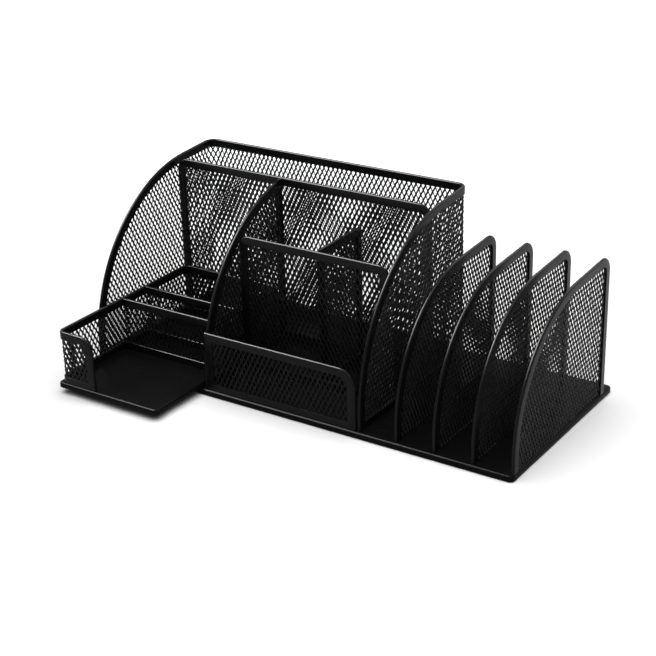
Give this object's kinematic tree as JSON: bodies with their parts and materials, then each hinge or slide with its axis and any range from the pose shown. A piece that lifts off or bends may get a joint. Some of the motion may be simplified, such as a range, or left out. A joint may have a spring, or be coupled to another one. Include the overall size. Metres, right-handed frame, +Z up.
{
  "type": "desk organizer",
  "caption": "Black expanded-steel mesh desk organizer with arched sides, a pen pocket, upright file sorter plates and a low drawer tray that slides out at the front left",
  "frame": {"origin": "on the desk, under the middle of the whole organizer with its drawer at home", "axes": "+X along the length to the sorter end, +Y to the back, +Z up"},
  "size_m": [0.365, 0.2136, 0.1428],
  "materials": {
    "powder_coated_steel": "black powder coat, satin, on expanded mesh and folded sheet steel",
    "rubber": "matt black stick-on foot"
  },
  "bodies": {
    "organizer": {"base_plate": "powder_coated_steel", "rubber_feet": "rubber", "left_wall_mesh": "powder_coated_steel", "left_wall_rim": "powder_coated_steel", "right_wall_mesh": "powder_coated_steel", "right_wall_rim": "powder_coated_steel", "back_wall_mesh": "powder_coated_steel", "back_wall_top_rim": "powder_coated_steel", "back_wall_foot_rim": "powder_coated_steel", "pen_panel_mesh": "powder_coated_steel", "pen_panel_rim": "powder_coated_steel", "centre_divider_mesh": "powder_coated_steel", "centre_divider_rim": "powder_coated_steel", "pocket_front_mesh": "powder_coated_steel", "pocket_front_rim": "powder_coated_steel", "card_panel_mesh": "powder_coated_steel", "card_panel_rim": "powder_coated_steel", "short_divider_mesh": "powder_coated_steel", "short_divider_rim": "powder_coated_steel", "sorter_1_mesh": "powder_coated_steel", "sorter_1_rim": "powder_coated_steel", "sorter_2_mesh": "powder_coated_steel", "sorter_2_rim": "powder_coated_steel", "sorter_3_mesh": "powder_coated_steel", "sorter_3_rim": "powder_coated_steel", "sorter_4_mesh": "powder_coated_steel", "sorter_4_rim": "powder_coated_steel"},
    "drawer": {"drawer_plate": "powder_coated_steel", "drawer_side_mesh": "powder_coated_steel", "drawer_side_top_rim": "powder_coated_steel", "drawer_side_foot_rim": "powder_coated_steel", "drawer_return_mesh": "powder_coated_steel", "drawer_return_rim": "powder_coated_steel", "drawer_back_mesh": "powder_coated_steel", "drawer_back_rim": "powder_coated_steel", "drawer_right_mesh": "powder_coated_steel", "drawer_right_rim": "powder_coated_steel", "drawer_front_cross_mesh": "powder_coated_steel", "drawer_front_cross_top_rim": "powder_coated_steel", "drawer_front_cross_foot_rim": "powder_coated_steel", "drawer_rear_cross_mesh": "powder_coated_steel", "drawer_rear_cross_top_rim": "powder_coated_steel", "drawer_rear_cross_foot_rim": "powder_coated_steel"}
  },
  "joints": [
    {"name": "drawer_slide", "type": "slide", "parent": "organizer", "child": "drawer", "axis": [0, -1, 0], "range_m": [-0.004, 0.08]}
  ]
}
